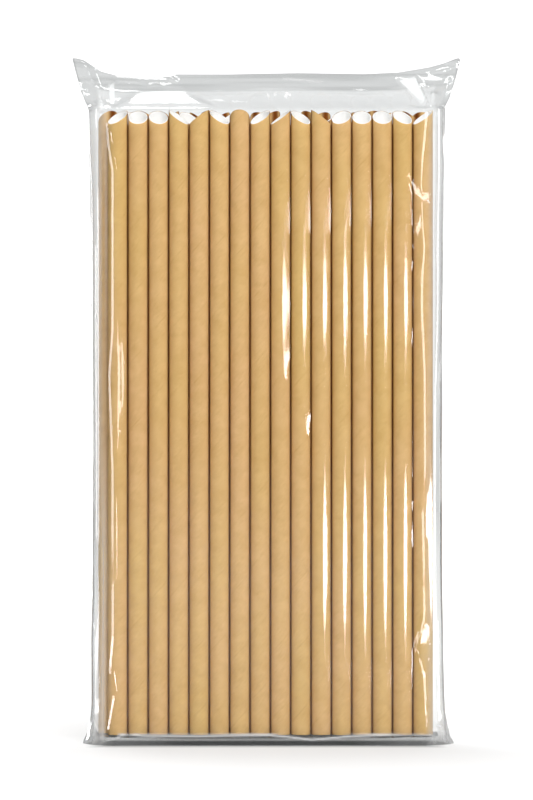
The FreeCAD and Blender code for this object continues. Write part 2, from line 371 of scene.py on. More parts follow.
class STRAWPACK_OT_straws(bpy.types.Operator):
    """Build one row of paper straws"""

    bl_idname = "strawpack.straws"
    bl_label = "Paper Straws"

    row: bpy.props.EnumProperty(
        name="Row",
        description="Which row of the bundle",
        items=[(r, r.title(), r.title() + " row") for r in ROWS],
    )

    def execute(self, context):
        straw, _ = settings()
        random = np.random.default_rng(40 + ROWS.index(self.row))
        kraft = shared_material("kraft paper, spiral wound", kraft_paper, straw)
        white = shared_material("bleached paper, inner ply", bleached_paper, straw)
        for node in STRAWS[self.row]:
            low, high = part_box(node)
            name = node.replace("straw_", "paper_straw_")
            mesh = straw_mesh(
                name, straw, centre_of(node), low.z, high.z - low.z, cut_direction(node), random
            )
            add_piece(name, mesh, [kraft, white], node)
        return {"FINISHED"}


# The random fields repeat after this many cells
CELLS = 64


def ramp(value):
    return np.clip(value, 0, 1)


def smooth_noise(across, up, cell_across, cell_up, seed):
    """Soft random field from -1 to 1 with features of the given size."""
    grid = np.random.default_rng(seed).uniform(-1, 1, (CELLS, CELLS))
    a = across / cell_across
    b = up / cell_up
    i, j = np.floor(a).astype(int), np.floor(b).astype(int)
    s, t = a - i, b - j
    s, t = s * s * (3 - 2 * s), t * t * (3 - 2 * t)

    def at(m, n):
        return grid[(i + m) % CELLS, (j + n) % CELLS]

    low = at(0, 0) * (1 - s) + at(1, 0) * s
    high = at(0, 1) * (1 - s) + at(1, 1) * s
    return low * (1 - t) + high * t


def facets(across, up, cell_across, cell_up, seed):
    """Crumpled film: flat triangles that meet in sharp creases, with heights from -1 to 1."""
    bend = 0.8 * cell_across * smooth_noise(across, up, 1.7 * cell_across, 1.7 * cell_up, seed + 50)
    lift = 0.8 * cell_up * smooth_noise(across, up, 1.6 * cell_across, 1.6 * cell_up, seed + 51)
    grid = np.random.default_rng(seed).uniform(-1, 1, (CELLS, CELLS))
    a = (across + bend) / cell_across
    b = (up + lift) / cell_up
    i, j = np.floor(a).astype(int), np.floor(b).astype(int)
    s, t = a - i, b - j
    flip = (i * 7 + j * 13 + i * j) % 3 == 0
    s = np.where(flip, 1 - s, s)

    def at(m, n):
        return grid[(i + np.where(flip, 1 - m, m)) % CELLS, (j + n) % CELLS]

    lower = at(0, 0) + s * (at(1, 0) - at(0, 0)) + t * (at(0, 1) - at(0, 0))
    upper = at(1, 1) + (1 - s) * (at(0, 1) - at(1, 1)) + (1 - t) * (at(1, 0) - at(1, 1))
    return np.where(s + t < 1, lower, upper)


# Creases that catch the light, in mm: the slopes of the two flanks, then the crest's points, each
# across from the middle, up from the floor, and its height there. Seen from the front, the first
# slope is to the right of a crest that runs down, and above one that runs to the right.
FRONT_CREASES = (
    ((0.5, 0.66), ((-50, 196.4, 0.4), (-49.4, 189.1, 0.5), (-48.1, 181.3, 0.5), (-48.1, 130.9, 0.5),
        (-49.1, 116.4, 0.5), (-48.1, 86.5, 0.5), (-48, 34.6, 0.5), (-48.9, 23.9, 0.5),
        (-47.7, 15.1, 0.5), (-49.6, 5, 0.4))),
    ((1.6, 0.66), ((-46.9, 134.7, 0), (-46.6, 128, 0.3), (-46.1, 121.5, 0.5), (-46, 115, 0.5),
        (-46.2, 109, 0.45), (-46.5, 101, 0.3), (-46.9, 91.3, 0))),
    ((1.6, 0.66), ((-46, 131, 0), (-45.4, 127, 0.3), (-45, 121.5, 0.5), (-44.9, 115, 0.5),
        (-45.1, 108, 0.35), (-45.7, 100, 0))),
    ((0.66, 0.5), ((50.1, 199.5, 0.5), (49.4, 192, 0.52), (48.7, 184, 0.45), (48.5, 177.5, 0.25),
        (49, 164.6, 0.2), (49.4, 156.7, 0.4), (48.6, 147.6, 0.5), (48.5, 138.5, 0.52),
        (49, 126.8, 0.5), (49.4, 119, 0.45), (49.6, 86.5, 0.45), (48.8, 73.6, 0.5), (49.2, 54.1, 0.5),
        (49.4, 40.9, 0.45), (47, 29.9, 0.5), (49.2, 22.7, 0.52), (50.2, 4.7, 0.5))),
    ((1.5, 0.69), ((50.2, 39.7, 0.2), (47.8, 30.2, 0.5))),
    ((0.6, 0.9), ((-55.1, 9.1, 0.2), (-56.2, 4.4, 0.5), (-58.1, 0.3, 0.3))),
    ((0.66, 0.5), ((-54.9, 9.1, 0.2), (-53.2, 4.9, 0.8), (-51.4, 1.4, 0.4))),
    ((0.9, 0.5), ((51.8, 5.8, 0.2), (57.3, 5.7, 0.5))),
)

# Columns of the front's grid that run along the long creases: where each one starts from, which
# crease it follows, and how far beside the crest for each mm of its height, at the flank's foot
FOLLOWED = (
    (-48.7, 0, -1.5), (-48.3, 0, 0), (-46.9, 1, -1.5), (-46.5, 1, 0), (-46.1, 2, -1.5), (-45.75, 2, 0),
    (49.4, 3, 0), (50.5, 3, 1.5),
)

# Flat panes of crumpled film, in mm: their slopes across and up, the height of the first corner,
# and the corners, across from the middle and up from the floor
PANES = (
    ((-0.215, -0.156), 0.03, ((44.4, 180.0), (46.7, 173.7), (50.5, 170.2), (49.9, 173.1))),
    ((-0.18, -0.035), -0.1, ((48.6, 169.0), (47.0, 163.3), (46.9, 159.0), (49.9, 164.6))),
)

# How far the body bulges beside its plain outline, in mm: up from the floor, left, right
SIDE_BULGE = (
    (0, 0, 1.2), (10, 0.2, 1.2), (16, 0.3, 1.1), (33, 0.4, 0.8), (46, 0.1, 0.5), (84, 0, 0.3),
    (124, 0.2, 0.4), (141, 0.3, 0.7), (163, 0.5, 0.8), (175, 0.6, 1.1), (186, 1.1, 1.3), (198, 1.4, 1.3),
)

# Folds of the seal and its ears, which bend both layers together
HEAD_FOLDS = (
    ((0.45, 0.3), ((-58.1, 216.2, 1.2), (-51.1, 202, 0.6))),
    ((0.05, 0.3), ((-46.1, 210.2, 0.1), (-36.7, 209, 0.15), (-27.9, 208.3, 0.1))),
    ((0.3, 0.3), ((-30.4, 211.2, 0.3), (-28.5, 209.8, 0.3), (-27.9, 208.8, 0.1))),
    ((0.35, 0.35), ((41.4, 210.5, 0.2), (47, 207.1, 0.9), (50.8, 202.7, 0.6))),
    ((0.3, 0.6), ((47, 211.2, 0.3), (49.6, 206.4, 0.8), (51.1, 203, 0.5))),
    ((0.5, 0.6), ((49.6, 211.8, 0.1), (55.9, 213.5, 0.25), (60.6, 214.9, 0.2))),
    ((0.4, 0.4), ((52.7, 202.4, 0.3), (56.5, 206.4, 0.8), (58.4, 210.8, 0.3))),
)

# Lines where the film is folded over itself: how dense it gets, and points across and up, in mm
FOLD_LINES = (
    (0.55, ((-60.1, 216.7), (-59.8, 213.4), (-58.1, 208.8), (-57.6, 206.1), (-56, 201.7))),
    (0.6, ((-59.2, 212.3), (-57.4, 209.7), (-56.3, 207.5), (-56.8, 205.7))),
    (0.5, ((-54.8, 204.4), (-52.8, 204.1))),
    (0.35, ((-45.8, 210.5), (-34, 209.4), (-28.3, 210.1))),
    (0.3, ((-44.1, 209.1), (-34, 208.1), (-28.3, 207.5))),
    (0.5, ((47.9, 212), (55.9, 213.5), (60.7, 214.8))),
    (0.6, ((47.5, 211.2), (49.6, 207.1), (51.1, 203))),
    (0.45, ((43, 209), (46.3, 204.2))),
    (0.5, ((53.2, 200.1), (55, 201.4), (55.9, 202.7))),
    (0.55, ((-55.1, 9.3), (-56.2, 4.5), (-58.1, 0.3))),
    (0.5, ((-55.1, 8.8), (-53.2, 4.9), (-51.4, 1.4))),
    (0.5, ((51.9, 5.8), (57.3, 5.7))),
    (0.6, ((56, 14.5), (56.6, 9.1), (57.6, 5.3), (59.8, 0.3))),
)

# Lines where a tight fold has turned the film milky: how milky, and points across and up, in mm. The line
# along the folded end is also a painted highlight, and the line and three spots in the seal are painted
# highlights
PALE_FOLDS_AND_GLINTS = (
    (0.75, ((-46.7, 3.1), (-43.6, 3.7), (-39.2, 3.2), (-20.9, 3.1), (0.8, 3.4), (8.3, 2.7), (14, 1.9),
        (20, 2.4), (25, 3), (44, 3.7), (52.1, 3.6))),
    (0.5, ((-54.9, 9.1), (-53.2, 4.7), (-51.5, 1.3), (-46.1, 2.7))),
    (0.4, ((51.8, 9.1), (53.7, 6.3), (56.5, 5.7))),
    (0.3, ((5.2, 210.9), (11, 210.3), (17.5, 209.8))),
    (0.35, ((0.6, 204.9), (0.6, 205.8))),
    (0.35, ((2.4, 205.2), (3.2, 205.8))),
    (0.9, ((6.0, 204.7), (6.3, 206.0), (7.4, 205.6))),
)

# Patches of the sealed film that stayed clear: how much clearer, and corners across and up, in mm
CLEAR_PATCHES = (
    (0.45, ((-60.3, 216.8), (-55.2, 199.5), (-51.1, 202), (-58.1, 216.5))),
    (0.4, ((-50.2, 209), (-49.9, 203), (-48, 203.3), (-48.3, 209.6))),
    (0.5, ((41.4, 210.5), (43, 209), (47, 204.1), (51, 203), (47.4, 211.5))),
    (0.4, ((52.7, 204.6), (53.3, 201.4), (55.9, 202.7), (58.4, 209.6), (56.5, 209.6))),
)

# The top edge of the seal, in mm: across from the middle, and up from the floor
TOP_EDGE = (
    (-60.4, 217.2), (-58.0, 216.6), (-52.4, 213.0), (-46.1, 211.4), (-30.4, 211.3), (-28.8, 212.1),
    (-11.5, 212.1), (10.5, 212.5), (31.0, 212.2), (42.0, 212.7), (51.5, 214.3), (56.2, 215.6),
    (60.4, 217.2),
)


# Folded lines fade over this far to each side, in mm
LINE_HALF = 0.3


def beside_line(x, z, start, end):
    """How far along a line from start to end each point is, how far from it, and on which side."""
    run, climb = end[0] - start[0], end[1] - start[1]
    along = ramp(((x - start[0]) * run + (z - start[1]) * climb) / (run * run + climb * climb))
    away = np.hypot(x - start[0] - along * run, z - start[1] - along * climb)
    return along, away, run * (z - start[1]) - climb * (x - start[0])


def segments(lines):
    """Each part of each line, with what the line carries."""
    for carried, points in lines:
        for start, end in zip(points, points[1:]):
            yield carried, start, end


def crease_height(x, z, creases):
    """Raised creases with flat flanks along lines of points, in mm."""
    total = np.zeros_like(x)
    for slopes, start, end in segments(creases):
        along, away, side = beside_line(x, z, start, end)
        slope = np.where(side > 0, slopes[0], slopes[1])
        total = np.maximum(total, start[2] + (end[2] - start[2]) * along - slope * away)
    return total


def inside_corners(x, z, corners):
    """How far inside a patch each point is. The corners run round it against the clock."""
    inside = np.full_like(x, 9.0)
    for start, end in zip(corners, corners[1:] + corners[:1]):
        run, climb = end[0] - start[0], end[1] - start[1]
        side = run * (z - start[1]) - climb * (x - start[0])
        inside = np.minimum(inside, side / math.hypot(run, climb))
    return inside


def pane_height(x, z):
    """Flat panes that stand out of the film, with steep sides."""
    total = np.full_like(x, -9.0)
    for slopes, height, corners in PANES:
        plane = height + slopes[0] * (x - corners[0][0]) + slopes[1] * (z - corners[0][1])
        total = np.maximum(total, plane + 2.5 * inside_corners(x, z, corners).clip(max=0))
    return total


def on_lines(x, z, lines):
    """Each line's own strength on it, and 0 beside it."""
    total = np.zeros_like(x)
    for strength, start, end in segments(lines):
        away = beside_line(x, z, start, end)[1]
        total = np.maximum(total, strength * np.exp(-(away / LINE_HALF) ** 2))
    return total


def stayed_clear(x, z):
    """How much clearer the sealed film is in each of its clear patches."""
    total = np.zeros_like(x)
    for clearer, corners in CLEAR_PATCHES:
        total = np.maximum(total, clearer * ramp(inside_corners(x, z, corners) / 0.5))
    return total


class FilmShape:
    """The bag's surface as a grid of points in mm. Columns are numbered round it, and rows up it."""

    SIDE_STEPS, CORNER_STEPS, MARGIN_STEPS, FRONT_STEPS = 6, 14, 24, 86
    # Columns are closer together from here to the corners, and from the second value they stay put
    MARGIN_START, STILL_FROM = 42.0, 51.2
    # A column at a flank's foot keeps its distance as if the crease were at least this high
    LOWEST_CREASE = 0.15
    # How much of a corner's radius is flat
    FLAT_SHARE = 0.24
    # Between the film and the floor, and between the film and the straws
    FLOOR_GAP = 0.05

    def __init__(self, film):
        self.film = film
        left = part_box(STRAWS["middle"][0])[0].x
        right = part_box(STRAWS["front"][-1])[1].x
        self.half_width = ((right - left) / 2 + film.side_gap) / MM
        self.half_depth = -BAG_LOW.y / MM
        self.radius = film.corner_radius / MM
        self.first = (FIRST_LOW.x + FIRST_HIGH.x) / 2 / MM
        self.fold = film.fold_height / MM
        self.shoulder = STRAW_TOP + film.head_gap / MM
        self.tall = (film.roof_height + film.seal_height) / MM
        self.foot_share = film.roof_height / (film.roof_height + film.seal_height)
        self.tip = BAG_HIGH.x / MM + 1.1
        self.plan()

    def plan(self):
        """A quarter from the middle of the right side to the middle of the front, mirrored."""
        side = self.half_depth - self.radius
        front = self.half_width - self.radius
        down = np.linspace(0, side, self.SIDE_STEPS, endpoint=False)
        turns = np.linspace(0, math.pi / 2, self.CORNER_STEPS, endpoint=False)
        margin = np.linspace(front, self.MARGIN_START, self.MARGIN_STEPS, endpoint=False)
        across = np.concatenate([margin, np.linspace(self.MARGIN_START, 0, self.FRONT_STEPS)])
        x = [np.full(down.size, self.half_width), front + self.radius * np.cos(turns), across]
        y = [-down, -side - self.radius * np.sin(turns), np.full(across.size, -self.half_depth)]
        x, y = np.concatenate(x), np.concatenate(y)
        # The front runs on flat into the corner and turns there with a crisp edge
        y = np.where(x < front + self.FLAT_SHARE * self.radius, -self.half_depth, y)
        way = np.concatenate([[0], np.cumsum(np.hypot(np.diff(x), np.diff(y)))])
        self.corner_way = way[down.size + turns.size]
        nx = ramp((x - front) / self.radius)
        ny = -np.sqrt(1 - nx ** 2)
        quarter = np.stack([x, y, nx, ny, way, way / way[-1]])
        mirror_x = np.array([-1, 1, -1, 1, 1, 1])[:, None]
        mirror_y = np.array([1, -1, 1, -1, 1, 1])[:, None]
        half = np.concatenate([quarter, (quarter * mirror_x)[:, -2::-1]], axis=1)
        whole = np.concatenate([half, (half * mirror_y)[:, -2:0:-1]], axis=1)
        self.x, self.y, self.nx, self.ny, self.way, self.near = whole
        self.side = np.where(self.x < 0, -1, 1)

    def heights(self):
        """Heights of the rows below the shoulder, closer together where the film is creased."""
        spans = ((self.FLOOR_GAP, self.fold, 0.42), (self.fold, 15, 0.9), (15, 40, 1.25), (40, 156, 2.4),
                 (156, 182, 0.55), (182, self.shoulder, 1.1))
        return np.concatenate([np.arange(a, b - step / 3, step) for a, b, step in spans])

    def foot(self, z):
        """The outline at a height: it runs out into the lower ears and draws in at the fold."""
        ear = np.clip(1 - z / (self.film.foot_ear_height / MM), 0, None) ** 2
        tuck = np.clip(1 - z / self.fold, 0, None) ** 2
        reach = self.half_depth - self.film.fold_tuck / MM
        near = np.clip(1 - self.way / self.corner_way, 0, None)
        out = self.film.foot_ear_reach / MM
        ear_x = self.x + self.side * out * ear * near ** 2
        flat_x = self.x + self.side * (self.half_width + out - np.abs(self.x)) * near
        flat_y = np.sign(self.y) * reach * (1 - near)
        x = ear_x + (flat_x - ear_x) * tuck
        y = self.y + (flat_y - self.y) * tuck
        return x, y, np.full_like(x, z)

    def head(self, share):
        """The outline above the straws: the roof closes to the seal, which rises into the ears."""
        lean = max(0.0, 1 - share / self.foot_share)
        lean += 0.02 * math.sin(math.pi * min(1.0, share / self.foot_share))
        flat = self.tip * (1 - self.near)
        x = self.x + (self.side * flat - self.x) * share ** 0.55
        half = self.film.layer_gap / MM
        y = np.sign(self.y) * (half + (np.abs(self.y) - half).clip(0) * lean)
        y = np.where(self.way == 0, 0, y)
        top = np.interp(x, *np.array(TOP_EDGE).T)
        plain_top = np.interp(x, *np.array(TOP_EDGE[:4] + TOP_EDGE[6:]).T)
        in_seal = max(0.0, (share - self.foot_share) / (1 - self.foot_share))
        return x, y, self.shoulder + (plain_top - self.shoulder) * share + (top - plain_top) * in_seal

    def build(self):
        heights = self.heights()
        roof = np.linspace(0, self.foot_share, 14)
        seal = np.linspace(self.foot_share, 1, 13)[1:]
        shares = np.concatenate([roof, seal, [0.985]])
        shares.sort()
        grid = [self.foot(z) for z in heights] + [self.head(share) for share in shares]
        x, y, z = (np.array([row[i] for row in grid]) for i in range(3))
        self.share = np.concatenate([np.zeros(heights.size), shares])[:, None] + 0 * x
        self.level = np.concatenate([heights, self.shoulder + shares * self.tall])[:, None] + 0 * x
        self.front = (self.y < 0)[None, :] + 0 * x
        self.plain_x = self.x[None, :] + 0 * x
        self.flatness = np.abs(self.ny)[None, :] + 0 * x
        self.below_head = ramp(1 - self.share / 0.1)
        x, y = self.wrinkle_body(x + self.follow_creases(), y)
        return self.fold_head(x, y, z)

    def follow_creases(self):
        """Moves columns of the front sideways, so that they run along the long creases."""
        columns = [self.x[np.abs(self.x - place).argmin()] for place, _, _ in FOLLOWED]
        near, far, end = self.MARGIN_START, self.STILL_FROM, self.half_width
        still = [-end, -far, -near, near, far, end]
        from_x = sorted(still + columns)
        lines = []
        for _, crease, beside in FOLLOWED:
            x, z, high = np.array(FRONT_CREASES[crease][1])[::-1].T
            lines.append(np.interp(self.level[:, 0], z, x + beside * np.maximum(high, self.LOWEST_CREASE)))
        moved = np.zeros_like(self.plain_x)
        for row in range(len(moved)):
            to_x = sorted(still + [line[row] for line in lines])
            moved[row] = np.interp(self.plain_x[row], from_x, to_x) - self.plain_x[row]
        moved *= self.front * self.below_head
        self.plain_x = self.plain_x + moved
        return moved

    def drawn_in(self):
        """Between two straws the film draws in, most where it is tight, which is on the right and
        reaches further to the left in the upper half."""
        x, level = self.plain_x, self.level
        gap = x - self.off_crest() + np.copysign(PITCH / 2, self.off_crest())
        tight_from = np.interp(level, (90, 125), (17.8, 4.8))
        curve = 0.02 + 0.18 / (1 + np.exp(-(gap - tight_from) / 0.8)) * ramp((48 - x) / 2)
        curve = np.where(self.front > 0, curve, 0.09)
        ends = ramp(level / 32) * ramp((199 - level) / 38)
        off_crest = np.abs(self.off_crest())
        hugging = np.minimum(off_crest, 1.7)
        return -curve * hugging * (off_crest - hugging / 2) * self.flatness ** 8 * ends

    def off_crest(self):
        """How far each point is from the crest of the straw behind it, along the row."""
        return (self.plain_x - self.first + PITCH / 2) % PITCH - PITCH / 2

    def room_to_straws(self):
        """How far the film can move in before it meets a straw."""
        radius = (FIRST_HIGH.x - FIRST_LOW.x) / 2 / MM
        crest = self.half_depth + FIRST_LOW.y / MM
        return crest + radius - np.sqrt((radius ** 2 - self.off_crest() ** 2).clip(0)) - self.FLOOR_GAP

    def wrinkle_body(self, x, y):
        level, front = self.level, self.front
        soft = 0.07 * smooth_noise(self.plain_x + 200 * front, level, 22, 46, 3)
        soft += 0.03 * smooth_noise(self.plain_x + 90 * front, level, 6, 22, 4)

        # Long pleats run up the corners and sides
        way = self.way[None, :] + 40 * (self.x > 0)[None, :] + 90 * front
        on_side = 1 - self.flatness ** 4
        pleats = 0.5 * np.abs(smooth_noise(way, level, 1.5, 75, 5))
        pleats += 0.15 * smooth_noise(way, level, 3, 22, 6)
        ends = ramp((level - 2) / 8)
        out = -0.08 + self.drawn_in() + soft + (pleats + 0.25) * on_side * ends
        out = np.where(self.flatness > 0.98, np.maximum(out, -self.room_to_straws()), out)
        out += crease_height(self.plain_x, level, FRONT_CREASES) * front * self.flatness
        out = np.where(front > 0, np.maximum(out, pane_height(self.plain_x, level)), out)

        # The lower ears are crumpled
        in_ear = ramp((np.abs(self.plain_x) - 48) / 4) * ramp((17 - level) / 8)
        out += 0.3 * facets(way, level, 2.6, 4.5, 21) * in_ear * ramp(level / 2)
        up, left, right = np.array(SIDE_BULGE).T
        bulge = np.where(self.plain_x < 0, np.interp(level, up, left), np.interp(level, up, right))
        x = x + self.nx[None, :] * (out + bulge * np.abs(self.nx)) * self.below_head
        y = y + self.ny[None, :] * out * self.below_head
        return x, y

    def fold_head(self, x, y, z):
        front, share = self.front, self.share
        outward = np.where(front > 0, -1, 1)

        # The roof is crumpled, each side in its own way, but for a flat fold at the left of the front
        on_roof = np.sin(math.pi * ramp(share / self.foot_share)) * (share > 0)
        fold_sides = [-44.6 + 0.9 * (z - 202.5) - x, x + 20.9 + 1.5 * (z - 203), 1.5 * (202.2 - z)]
        off_fold = np.where(front > 0, np.clip(np.max(fold_sides, axis=0), 0, 3), 3.0)
        rough = 0.03 + 0.05 * off_fold / 3 + 0.8 * ramp((np.abs(x) - 44) / 6)
        crumple = facets(x + 300 * front, z, 6.5, 3.4, 7) + 0.3 * facets(x + 170 * front, z, 2.4, 2.0, 8)
        y = y + outward * 0.55 * crumple * on_roof * rough
        z = z + (0.8 * crumple * rough - 0.16 * off_fold * (np.abs(x) < 52)) * on_roof

        # The seal waves, and creases run out into the ears
        raised = ramp((share - 0.42) / 0.2)
        in_ear = ramp((np.abs(x) - 45) / 8)
        wave = 0.35 * smooth_noise(x, 0 * x, 15, 1, 9) + 0.03 * smooth_noise(x, z, 26, 0.8, 10)
        wave += 0.4 * in_ear * facets(x + 0.5 * z, z, 6.5, 7.5, 11)
        wave += crease_height(x, z, HEAD_FOLDS)
        y = y - wave * raised
        return x, y, z

    def gathered_and_painted_shade(self, z):
        """How much less the film lets through: 0 clear, 0.5 sealed or gathered, 1 folded. At the folded
        end it is partly painted shade, and high up the back it is painted shade.
        """
        x, level = self.plain_x, self.level
        shares = (0, 0.08, self.foot_share - 0.03, self.foot_share)
        head = np.interp(self.share, shares, (0.25, 0.32, 0.3, 0.5))
        head *= ramp((level - self.shoulder) / 1.2 + 1)
        head += (self.share > 0.5) * 0.06 * smooth_noise(x, z, 26, 0.8, 12)
        head += (self.share > 0.99) * 0.15
        side = ramp((np.abs(x) - 52.6) / 0.8) * np.interp(level, (8, 20), (0.2, 0.5))
        # Painted shade: the back film is darker from 193 mm up to the shoulder
        back_top = ramp((level - 193) / 3) * (self.share == 0) * (1 - self.front) * 0.4

        # The folded end: layers over each other in bands, fewer of them towards the ears, and painted
        # shade from the straws above, darkest in the middle
        to_ears = ramp((np.abs(x) - 26) / 18)
        low_band = np.exp(-((level - 1.15) / 0.55) ** 2) * (1 - 0.75 * to_ears)
        high_band = 0.75 * np.exp(-((level - 2.45) / 0.35) ** 2) * ramp((10 - x) / 8)
        high_band *= 1 - to_ears
        foot = (0.5 + 0.42 * np.maximum(low_band, high_band)) * ramp((self.fold - level) / 0.4)
        above_or_below = ramp(np.maximum(self.share / 0.03, (14 - level) / 4))
        rim = 0.62 * np.exp(-(self.way[None, :] / 0.5) ** 2) * above_or_below
        dense = np.max([head - stayed_clear(x, z), side, back_top, foot, rim], axis=0)
        return ramp(np.maximum(dense, on_lines(x, z, FOLD_LINES)))

    def haze_and_painted_sheen(self, seal_x, z):
        """Fine wrinkles at the upright corners scatter the light, and the milky white there is also a
        painted reflection; the pale lines and spots add painted highlights. 0 clear, 1 white.
        """
        x, level = self.plain_x, self.level
        corner = ramp((np.abs(x) - 49.8) / 1.6)
        streaks = 0.7 + 0.7 * smooth_noise(x + 70, level, 1.1, 55, 14)
        corner = np.clip(corner * streaks * np.where(x < 0, 0.34, 0.2), 0, 0.5) * (self.share < 0.05)
        return np.maximum(corner, on_lines(seal_x, z, PALE_FOLDS_AND_GLINTS) * self.front)

    def back_strip(self, x, y, z, width):
        """The part of the grid up the middle of the back, as far as the shoulder."""
        columns = np.flatnonzero((self.y > 0) & (np.abs(self.x) < width / 2))
        rows = np.flatnonzero((self.level[:, 0] > self.fold) & (self.share[:, 0] < 0.03))
        pick = np.ix_(rows, columns)
        return x[pick], y[pick], z[pick]


# The film shows a crisp crease where it bends by more than this, in degrees
FILM_CREASE = 15


def grid_mesh(name, x, y, z):
    """A closed skin: rows of points joined round, with strips that close both ends."""
    rows, columns = x.shape
    points = np.stack([x, y, z], axis=-1).reshape(-1, 3) * MM
    index = np.arange(rows * columns).reshape(rows, columns)
    ahead = np.roll(index, -1, axis=1)
    walls = np.stack([index[:-1], index[1:], ahead[1:], ahead[:-1]], axis=-1).reshape(-1, 4)
    faces = walls.tolist()
    for row, flip in ((0, False), (rows - 1, True)):
        for step in range(columns // 2):
            corners = index[row, [step, step + 1, -step - 1, -step % columns]]
            ring = list(dict.fromkeys(corners.tolist()))
            if flip:
                ring.reverse()
            if len(ring) > 2:
                faces.append(ring)
    return smooth_mesh(name, points, faces, FILM_CREASE)


def sheet_mesh(name, x, y, z, thickness):
    """A thin closed sheet: a grid of points, moved by the thickness for its other face."""
    rows, columns = x.shape
    one = np.stack([x, y, z], axis=-1).reshape(-1, 3)
    points = np.concatenate([one, one + np.array(thickness)]) * MM
    index = np.arange(rows * columns).reshape(rows, columns)
    low, high = index[:-1], index[1:]
    quads = np.stack([low[:, :-1], low[:, 1:], high[:, 1:], high[:, :-1]], axis=-1).reshape(-1, 4)
    faces = quads[:, ::-1].tolist() + (quads + rows * columns).tolist()
    rim = np.concatenate([index[0, :-1], index[:-1, -1], index[-1, :0:-1], index[:0:-1, 0]])
    after = np.roll(rim, -1)
    faces += np.stack([rim, after, after + rows * columns, rim + rows * columns], axis=-1).tolist()
    return smooth_mesh(name, points, faces, FILM_CREASE)


class STRAWPACK_OT_film_bag(bpy.types.Operator):
    """Build the clear film bag round the straws, with its back seam and end panel"""

    bl_idname = "strawpack.film_bag"
    bl_label = "Film Bag"

    def execute(self, context):
        _, film = settings()
        material = clear_film(film)
        shape = FilmShape(film)
        x, y, z = shape.build()
        mesh = grid_mesh("clear_bag", x, y, z)
        set_attribute(mesh, "gathered_and_painted_shade", shape.gathered_and_painted_shade(z))
        # Milky white: wrinkles, with painted highlights and a painted reflection
        set_attribute(mesh, "haze_and_painted_sheen", shape.haze_and_painted_sheen(x, z))
        add_piece("clear_bag", mesh, [material], "film_bag")
        self.add_back_seam(shape, x, y, z, film, material)
        self.add_end_panel(shape, material)
        return {"FINISHED"}

    def add_back_seam(self, shape, x, y, z, film, material):
        """A lap seam: a strip of the film's other edge, welded on up the middle of the back."""
        x, y, z = shape.back_strip(x, y, z, film.seam_width / MM)
        lift = 0.05 + 0.015 * np.sin(2 * math.pi * z / 1.6)
        mesh = sheet_mesh("film_back_seam", x, y + lift, z, (0, 0.05, 0))
        add_piece("film_back_seam", mesh, [material], "film_bag")

    def add_end_panel(self, shape, material):
        """The layer of the folded end that the straws stand on."""
        inset = 0.35
        y_reach = shape.half_depth - inset
        y = np.linspace(-y_reach, y_reach, 15)[:, None]
        in_corner = (np.abs(y) - (shape.half_depth - shape.radius)).clip(0)
        corner = np.sqrt(((shape.radius - inset) ** 2 - in_corner ** 2).clip(0))
        x = np.linspace(-1, 1, 111)[None, :] * (shape.half_width - shape.radius + corner)
        y = y + 0 * x
        sag = 0.12 + 0.35 * np.abs(facets(x, y, 9, 6, 31)) + 0.5 * (np.abs(y) / y_reach) ** 6
        mesh = sheet_mesh("film_end_panel", x, y, shape.fold - 0.05 - sag, (0, 0, 0.05))
        set_attribute(mesh, "gathered_and_painted_shade", np.full(len(mesh.vertices), 0.5))
        add_piece("film_end_panel", mesh, [material], "film_bag")


# The stage, in metres: how far the camera stands from the straws, and what it frames
CAMERA_AWAY = 1.2
FRAME_HEIGHT = 0.2518
EYE_HEIGHT = 0.1089
SENSOR = 36.0


def seen_white(tree, mirrored):
    """1 for what the camera or glass sees, so that the stage looks white to them, and less in gloss."""
    rays = add_node(tree, "LightPath").outputs
    gloss = add_node(tree, "Math", {0: rays["Is Glossy Ray"], 1: mirrored}, operation="MULTIPLY")
    seen = add_node(tree, "Math", {0: rays["Is Camera Ray"], 1: gloss}, operation="MAXIMUM")
    return add_node(tree, "Math", {0: seen, 1: rays["Is Transmission Ray"]}, operation="MAXIMUM")


def stage_material(name, lit, glow, mirrored):
    """A white that the lamps light in part, so that it keeps shadows, and that the camera sees white."""
    material, tree = new_material(name)
    if callable(glow):
        glow = glow(tree)
    strength = add_node(tree, "Math", {0: seen_white(tree, mirrored), 1: glow}, operation="MULTIPLY")
    matt = add_node(tree, "BsdfDiffuse", {"Color": (lit, lit, lit, 1)})
    light = add_node(tree, "Emission", {"Color": (1, 1, 1, 1), "Strength": strength})
    finish_material(tree, add_node(tree, "AddShader", {0: matt, 1: light}))
    return material


# How the floor glows with the distance from the pack, in metres: from, to, and how much it rises. The
# weaker glow close to the pack is a painted shadow
GLOW_BESIDE_PACK = (0.0, 0.009, 0.49)
GLOW_FAR_AWAY = (0.02, 0.40, 0.6)
# Half the length and depth of the patch below the pack that doesn't glow, in metres: a painted shadow
PAINTED_SHADOW_PATCH = {"X": 0.048, "Y": 0.007}


def floor_glow(tree):
    """Rises from nothing below the pack to a part beside it and to full white far away, which paints a
    shadow below and beside the pack.
    """
    place = add_node(tree, "NewGeometry").outputs["Position"]
    split = add_node(tree, "SeparateXYZ", {"Vector": place})
    beside = []
    for axis, half in PAINTED_SHADOW_PATCH.items():
        away = add_node(tree, "Math", {0: split.outputs[axis]}, operation="ABSOLUTE")
        beside.append(add_node(tree, "Math", {0: away, 1: half}, operation="SUBTRACT"))
    from_pack = add_node(tree, "Math", {0: beside[0], 1: beside[1]}, operation="MAXIMUM")
    glows = [
        add_node(
            tree, "MapRange",
            {"Value": from_pack, "From Min": start, "From Max": end, "To Min": 0.0, "To Max": rise},
        )
        for start, end, rise in (GLOW_BESIDE_PACK, GLOW_FAR_AWAY)
    ]
    return add_node(tree, "Math", {0: glows[0], 1: glows[1]}, operation="ADD")


